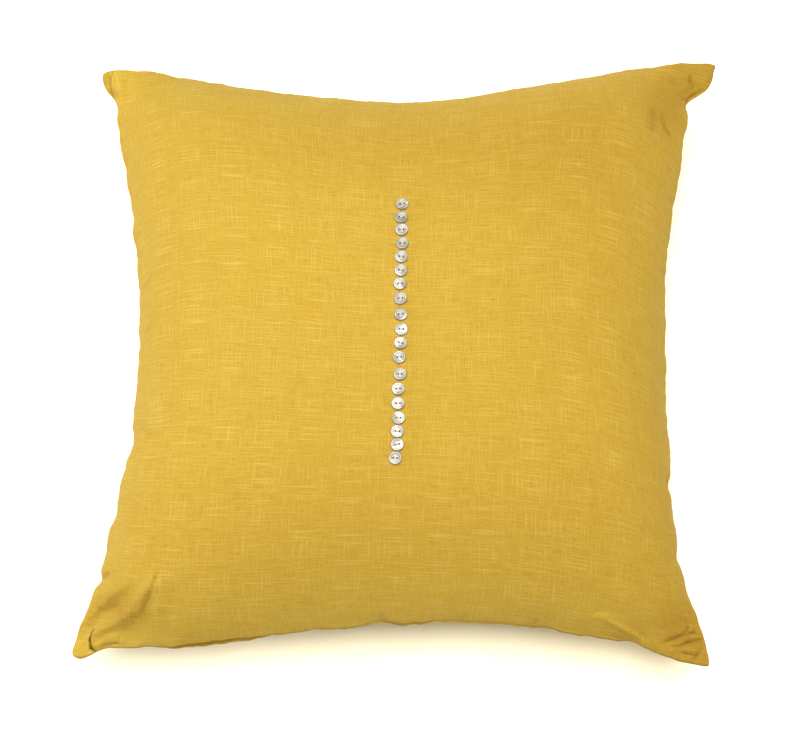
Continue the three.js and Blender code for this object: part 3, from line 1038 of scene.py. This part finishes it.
def hole_ring(points, x):
    """Numbers of the points on a hole's edge, in turning order."""

    def turn(i):
        return round(math.atan2(points[i][1], points[i][0] - x), 5) % (2 * math.pi - 1e-4)

    edge = [i for i, p in enumerate(points) if abs(math.hypot(p[0] - x, p[1]) - HOLE_RADIUS) < 1e-4]
    return sorted(edge, key=turn)


def button_frame(along, aside, turn, tilt):
    """Places a button on the face as the frame's own button is placed."""
    u, v, step = aside / HALF_COVER, along / HALF_COVER, PLACING_STEP / HALF_COVER
    place = face_points(np.array([u, u + step, u - step, u, u]), np.array([v, v, v, v + step, v - step]))
    right = Vector(place[1] - place[2]).normalized()
    normal = right.cross(Vector(place[3] - place[4])).normalized()
    basis = Matrix((right, normal.cross(right), normal)).transposed()
    local = Euler((math.radians(tilt), 0, math.radians(turn))).to_matrix()
    room = RIM_RADIUS * TILT_ROOM * math.sin(math.radians(abs(tilt)))
    matrix = (basis @ local).to_4x4()
    matrix.translation = Vector(place[0]) + normal * (BUTTON_GAP + room)
    return Matrix.Scale(MM, 4) @ matrix


# Shell, from its dark layers to its white ones, its tints, the painted shade in and round its holes by
# distance from their middle in mm, the painted highlight on the rim by radius, and the millimetres that make
# 1 of it
SHELL_TONES = (
    (0.0, (0.112, 0.102, 0.083)),
    (0.35, (0.170, 0.157, 0.130)),
    (0.65, (0.224, 0.215, 0.190)),
    (1.0, (0.325, 0.320, 0.304)),
)
SHELL_TINTS = ((0.35, (1.0, 0.92, 0.94)), (0.5, (1, 1, 1)), (0.65, (0.92, 1.0, 0.94)))
SHELL_HOLE_SHADE = (0.030, 0.015, 0.005)
SHELL_HOLE_SHADE_RANGE = ((0.78, 0.97), (1.05, 0.0))
SHELL_RIM_HIGHLIGHT = ((0.70, 0.0), (0.80, 1.0), (0.93, 0.9), (0.99, 0.2))
SHELL_RIM_HIGHLIGHT_UNIT = 5.0
SHELL_ROUGHNESS = ((0.3, 0.16), (0.7, 0.30))
SHELL_RELIEF = (0.15, 0.00012)

# How far apart the noises of two buttons lie, how far the layers wave in mm and how close they lie, then what
# goes into the tone: the share of the layers and of the clouds, the tone of the pale band (white shell,
# partly a painted reflection), the share of a painted sheen that drifts over the button, and the share of the
# painted highlight on the rim; the tints multiply the colour by their share
SHELL_SEED = 7.0
LAYER_WAVE = 2.6
LAYER_TURNS = 3.6
LAYER_SHARE = 0.05
CLOUD_SHARE = 0.30
PALE_SHELL_AND_REFLECTION_TONE = 0.90
SHEEN_DRIFT_SHARE = 0.022
RIM_HIGHLIGHT_SHARE = 0.34
TINT_SHARE = 0.6


def shell_material(name, tone, pale_turn, pale_place, pale_width, rim):
    """Trochus shell: grey and white layers in wavy bands, the white partly a painted reflection, a painted
    sheen drifting over it, a painted highlight on the rim, painted shade in the holes and a thin lustre.
    """
    n = Nodes(name)
    uv = n.add("ShaderNodeUVMap", settings={"uv_map": "plan"})
    x, y, _ = n.split(uv)
    turn = math.radians(pale_turn)
    plan = n.join(x, y, tone * SHELL_SEED + pale_place)
    along = n.math("MULTIPLY_ADD", y, math.sin(turn), n.math("MULTIPLY", x, math.cos(turn)))
    along = n.math("MULTIPLY_ADD", n.math("SUBTRACT", n.noise(plan, 0.35, 2.0), 0.5), LAYER_WAVE, along)
    off = n.math("ABSOLUTE", n.math("SUBTRACT", along, pale_place))
    # Pale band: white shell, partly a painted reflection
    pale_shell_and_reflection = n.grey(n.math("SUBTRACT", pale_width, off), (0.0, 0.0), (0.5, 0.8), (1.0, 1.0))
    across = n.math("MULTIPLY_ADD", y, math.cos(turn), n.math("MULTIPLY", x, -math.sin(turn)))
    layers = n.math("SINE", n.math("MULTIPLY", along, LAYER_TURNS))
    share = n.math("MULTIPLY_ADD", layers, LAYER_SHARE, tone)
    share = n.math("MULTIPLY_ADD", n.math("SUBTRACT", n.noise(plan, 1.5, 3.0), 0.5), CLOUD_SHARE, share)
    share = n.math("MULTIPLY_ADD", pale_shell_and_reflection, PALE_SHELL_AND_REFLECTION_TONE - tone, share)
    # Painted sheen that drifts over the button
    share = n.math("MULTIPLY_ADD", n.math("MULTIPLY", along, across), SHEEN_DRIFT_SHARE, share)
    # Painted highlight on the rim, as strong as rim gives
    edge = n.grey(n.math("DIVIDE", n.length(x, y), SHELL_RIM_HIGHLIGHT_UNIT), *SHELL_RIM_HIGHLIGHT)
    share = n.math("MULTIPLY_ADD", edge, RIM_HIGHLIGHT_SHARE * rim, share)
    colour = n.ramp(share, *SHELL_TONES)
    colour = n.mix(TINT_SHARE, colour, n.ramp(n.noise(plan, 0.8, 1.0), *SHELL_TINTS), "MULTIPLY")
    # Painted shade in and round the holes
    from_hole = n.length(n.math("SUBTRACT", n.math("ABSOLUTE", x), HOLE_OFFSET), y)
    colour = n.mix(n.grey(from_hole, *SHELL_HOLE_SHADE_RANGE), colour, (*SHELL_HOLE_SHADE, 1))
    n.put(n.shader.inputs["Base Color"], colour)
    n.put(n.shader.inputs["Roughness"], n.grey(n.noise(plan, 2.5, 2.0), *SHELL_ROUGHNESS))
    n.shader.inputs["Coat Weight"].default_value = 0.16
    n.shader.inputs["Coat Roughness"].default_value = 0.08
    n.shader.inputs["Specular IOR Level"].default_value = 0.4
    n.put(n.shader.inputs["Normal"], n.bump(n.noise(plan, 3.0, 3.0), *SHELL_RELIEF))
    return n.material


def make_buttons():
    points, faces = button_mesh_data()
    for number, (along, aside, turn, tilt, *look) in enumerate(BUTTONS, 1):
        matrix = button_frame(along, aside, turn, tilt)
        mesh = bpy.data.meshes.new(f"shell_button_{number:02d}")
        mesh.from_pydata([tuple(matrix @ Vector(p)) for p in points], [], faces)
        layer = mesh.uv_layers.new(name="plan")
        loops = np.empty(len(mesh.loops), int)
        mesh.loops.foreach_get("vertex_index", loops)
        layer.data.foreach_set("uv", np.array(points)[loops, :2].astype(np.float32).ravel())
        mesh.shade_smooth()
        mesh.materials.append(shell_material(f"shell_{number:02d}", *look))
        button = bpy.data.objects.new(mesh.name, mesh)
        bpy.context.scene.collection.objects.link(button)
        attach(button, "root")
        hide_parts(f"button_{number:02d}")


# Threads

# Bar through the holes in mm: radius, places of its strands, how much higher the middle one lies, how far out
# its legs are, and the share of the strand's place and the height at each point of a leg; then the arc over
# the dish: half its length, height, drop at its ends and half its steps
BAR_RADIUS = 0.17
BAR_STRANDS = (-0.24, 0.0, 0.24)
STRAND_LIFT = 0.06
BAR_LEG = HOLE_OFFSET - 0.56
BAR_LEGS = [(0.6, -0.3), (0.8, 0.9), (0.9, 1.25)]
BAR_HALF_ARC = BAR_LEG - 0.12
BAR_TOP = 1.72
BAR_DROP = 0.24
BAR_STEPS = 6

# Thread from button to button in mm: radius, place beside the row, distance from a button's middle to where
# it starts, sway and how fast it sways, height above the cloth, and steps
LINK_RADIUS = 0.26
LINK_ASIDE = -0.8
LINK_START = 3.2
LINK_SWAY = 0.15
LINK_SWAY_RATE = 7
LINK_LIFT = LINK_RADIUS * 0.9
LINK_STEPS = 10
TUBE_SECTORS = 8
NEARLY_UPRIGHT = 0.9

# Threads: light and deep colour, the link thread's dark brown being painted shade on yellow thread, and the
# noise, strength and height in metres of their fibres
YELLOW_THREAD = ((0.66, 0.40, 0.05), (0.42, 0.21, 0.02))
SHADED_LINK_THREAD = ((0.17, 0.085, 0.018), (0.08, 0.036, 0.006))
FIBRES = (1400.0, 3.0, 0.6)
FIBRE_RELIEF = (0.5, 0.00008)


def tube(path, radius, points, faces):
    """Adds a closed round tube along a path of Vectors."""
    base = len(points)
    for i, place in enumerate(path):
        ahead = (path[min(i + 1, len(path) - 1)] - path[max(i - 1, 0)]).normalized()
        across = Vector((0, 0, 1)) if abs(ahead.z) < NEARLY_UPRIGHT else Vector((0, 1, 0))
        side = ahead.cross(across).normalized()
        rise = side.cross(ahead)
        for k in range(TUBE_SECTORS):
            turn = 2 * math.pi * k / TUBE_SECTORS
            points.append(place + (side * math.cos(turn) + rise * math.sin(turn)) * radius)
    for i in range(len(path) - 1):
        for k in range(TUBE_SECTORS):
            after = (k + 1) % TUBE_SECTORS
            start = base + i * TUBE_SECTORS
            faces.append((start + k, start + after, start + after + TUBE_SECTORS, start + k + TUBE_SECTORS))
    last = base + (len(path) - 1) * TUBE_SECTORS
    faces.append(tuple(base + k for k in reversed(range(TUBE_SECTORS))))
    faces.append(tuple(last + k for k in range(TUBE_SECTORS)))


def bar_path(offset, lift):
    """From inside one hole over the dish and down into the other."""
    path = [Vector((-BAR_LEG, offset * share, z)) for share, z in BAR_LEGS]
    for i in range(2 * BAR_STEPS + 1):
        t = i / BAR_STEPS - 1
        path.append(Vector((t * BAR_HALF_ARC, offset, BAR_TOP + lift - BAR_DROP * t**4)))
    path += [Vector((BAR_LEG, offset * share, z)) for share, z in reversed(BAR_LEGS)]
    return path


def thread_material(name, light, deep):
    n = Nodes(name)
    place = n.add("ShaderNodeTexCoord", output=3)
    fibres = n.noise(place, *FIBRES)
    n.put(n.shader.inputs["Base Color"], n.ramp(fibres, (0.3, deep), (0.7, light)))
    n.put(n.shader.inputs["Roughness"], n.grey(fibres, (0.3, 0.85), (0.7, 0.65)))
    n.shader.inputs["Sheen Weight"].default_value = 0.3
    n.put(n.shader.inputs["Normal"], n.bump(fibres, *FIBRE_RELIEF))
    return n.material


def add_threads(name, points, faces, material):
    mesh = bpy.data.meshes.new(name)
    mesh.from_pydata([tuple(p) for p in points], [], faces)
    mesh.shade_smooth()
    mesh.materials.append(material)
    threads = bpy.data.objects.new(name, mesh)
    bpy.context.scene.collection.objects.link(threads)
    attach(threads, "root")


def make_button_threads():
    points, faces = [], []
    for row in BUTTONS:
        matrix = button_frame(*row[:4])
        for number, offset in enumerate(BAR_STRANDS):
            path = [matrix @ p for p in bar_path(offset, STRAND_LIFT * (number % 2))]
            tube(path, BAR_RADIUS * MM, points, faces)
    add_threads("button_threads", points, faces, thread_material("yellow_thread", *YELLOW_THREAD))


def make_link_threads():
    """The sewing thread that runs over the cloth from one button to the next, coloured dark brown as painted
    shade.
    """
    points, faces = [], []
    for above, below in zip(BUTTONS, BUTTONS[1:]):
        start, end = above[0] - LINK_START, below[0] + LINK_START
        aside = LINK_ASIDE + (above[1] + below[1]) / 2
        path = []
        for i in range(LINK_STEPS + 1):
            t = i / LINK_STEPS
            v = np.array([(start + (end - start) * t) / HALF_COVER])
            u = np.array([(aside + LINK_SWAY * math.sin(LINK_SWAY_RATE * t + above[0])) / HALF_COVER])
            place = face_points(u, v)[0]
            path.append((Vector(place) + Vector((0, 0, LINK_LIFT))) * MM)
        tube(path, LINK_RADIUS * MM, points, faces)
    # Dark brown: painted shade on the yellow thread
    add_threads("link_threads", points, faces, thread_material("shaded_link_thread", *SHADED_LINK_THREAD))


cushion = make_cushion()
cushion.data.materials.append(linen_material())
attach(cushion, "root")
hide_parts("cushion")
make_buttons()
make_button_threads()
make_link_threads()


# Floor, camera and light


def make_floor():
    n = Nodes("pale_floor")
    n.shader.inputs["Base Color"].default_value = (*FLOOR_COLOUR, 1)
    n.shader.inputs["Roughness"].default_value = 0.9
    mesh = bpy.data.meshes.new("floor")
    corners = [(x * FLOOR_HALF_M, y * FLOOR_HALF_M, 0) for x, y in ((-1, -1), (1, -1), (1, 1), (-1, 1))]
    mesh.from_pydata(corners, [], [(0, 1, 2, 3)])
    mesh.materials.append(n.material)
    floor = bpy.data.objects.new("floor", mesh)
    bpy.context.scene.collection.objects.link(floor)


def make_camera():
    data = bpy.data.cameras.new("camera")
    data.lens = CAMERA_LENS
    data.sensor_width = CAMERA_SENSOR
    data.clip_end = CAMERA_REACH_M
    camera = bpy.data.objects.new("camera", data)
    bpy.context.scene.collection.objects.link(camera)
    aim = Vector(AIM_MM) * MM
    away = Vector((0, -math.sin(CAMERA_TILT), math.cos(CAMERA_TILT)))
    camera.location = aim + away * CAMERA_DISTANCE_MM * MM
    camera.rotation_euler = (CAMERA_TILT, 0, 0)
    bpy.context.scene.camera = camera


def area_light(name, place, size, power, colour):
    data = bpy.data.lights.new(name, "AREA")
    data.shape = "SQUARE"
    data.size = size
    data.energy = power
    data.color = colour
    light = bpy.data.objects.new(name, data)
    bpy.context.scene.collection.objects.link(light)
    light.location = place
    light.rotation_euler = (Vector(LIGHT_AIM_M) - Vector(place)).to_track_quat("-Z", "Y").to_euler()


def make_light():
    for row in LIGHTS:
        area_light(*row)
    world = bpy.data.worlds.new("studio")
    bpy.context.scene.world = world
    world.use_nodes = True
    background = world.node_tree.nodes["Background"]
    background.inputs["Color"].default_value = (1, 1, 1, 1)
    background.inputs["Strength"].default_value = WORLD_STRENGTH


make_floor()
make_camera()
make_light()
bpy.context.scene.view_settings.view_transform = "Standard"
